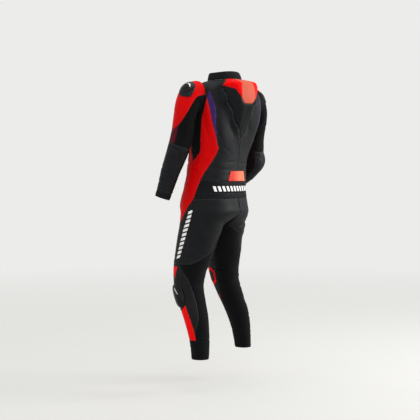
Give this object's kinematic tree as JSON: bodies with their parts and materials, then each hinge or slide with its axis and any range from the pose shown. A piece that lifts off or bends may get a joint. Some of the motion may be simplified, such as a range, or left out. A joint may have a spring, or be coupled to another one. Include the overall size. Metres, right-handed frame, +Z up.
{
  "type": "motorcycle race suit",
  "caption": "One-piece leather race suit with stretch panels, moulded back hump, knee and shoulder guards and a front zip, hollow and held in its worn pose.",
  "frame": {"origin": "middle of the shoulder line inside the neck, where the wearer's shoulders carry the suit; the soles of the feet are 1.47 m below", "axes": "+Z up along the body, the front of the suit faces -Y, the wearer's left is +X"},
  "size_m": [0.6236, 0.3759, 1.3657],
  "materials": {
    "leather": "charcoal black cowhide, soft sheen",
    "grey_leather": "dark grey cowhide, soft sheen",
    "red_leather": "fluorescent red leather, soft sheen",
    "coral_leather": "coral red leather, satin",
    "purple_leather": "deep purple leather, soft sheen",
    "stretch": "black stretch textile, matt",
    "crimson_stretch": "dark crimson stretch textile, matt",
    "band": "black leather, matt",
    "collar_knit": "black knit over soft foam, matt",
    "zip_tape": "black woven tape, matt",
    "slider_plastic": "black moulded plastic, glossy",
    "cup_plastic": "black moulded plastic, satin",
    "light_metal": "bare brushed aluminium",
    "zip_metal": "dark nickel, satin",
    "white_print": "thin white rubber print on the leather, matt"
  },
  "bodies": {
    "suit": {"back_left": "leather", "back_right": "leather", "calf_panel_left": "grey_leather", "calf_panel_right": "grey_leather", "collar": "collar_knit", "elbow_pad_left": "leather", "elbow_pad_right": "leather", "elbow_stretch_left": "crimson_stretch", "elbow_stretch_right": "crimson_stretch", "flank_inset_left": "red_leather", "flank_inset_right": "red_leather", "flash_left": "red_leather", "flash_right": "red_leather", "forearm_left": "leather", "forearm_right": "leather", "front_left": "leather", "front_right": "leather", "front_zip": "zip_tape", "hump_body": "stretch", "hump_cap": "red_leather", "knee_accent_left": "red_leather", "knee_accent_right": "red_leather", "knee_grip_left": "red_leather", "knee_grip_right": "red_leather", "knee_left": "leather", "knee_right": "leather", "knee_slider_left": "slider_plastic", "knee_slider_right": "slider_plastic", "leg_cuff_left": "stretch", "leg_cuff_right": "stretch", "leg_stretch_left": "stretch", "leg_stretch_right": "stretch", "lumbar_badge": "coral_leather", "purple_stripe_left": "purple_leather", "purple_stripe_right": "purple_leather", "seat_thigh_left": "leather", "seat_thigh_right": "leather", "shin_left": "red_leather", "shin_right": "red_leather", "shoulder_cup_left": "cup_plastic", "shoulder_cup_right": "cup_plastic", "shoulder_insert_left": "light_metal", "shoulder_insert_right": "light_metal", "shoulder_left": "red_leather", "shoulder_right": "red_leather", "side_stretch_left": "stretch", "side_stretch_right": "stretch", "sleeve_cuff_left": "band", "sleeve_cuff_right": "band", "sleeve_under_left": "stretch", "sleeve_under_right": "stretch", "thigh_tail_left": "red_leather", "thigh_tail_right": "red_leather", "upper_sleeve_left": "stretch", "upper_sleeve_right": "stretch", "waist_band": "band", "waist_strip": "band", "zip_slider": "zip_metal"},
    "zip_pull": {"zip_pull": "zip_metal"}
  },
  "joints": [
    {"name": "zip_pull_hinge", "type": "hinge", "parent": "suit", "child": "zip_pull", "pos_m": [-0.01784, -0.10157, -0.03546], "axis": [-0.9838, 0.1789, 0.009], "range_deg": [0, 150]}
  ]
}
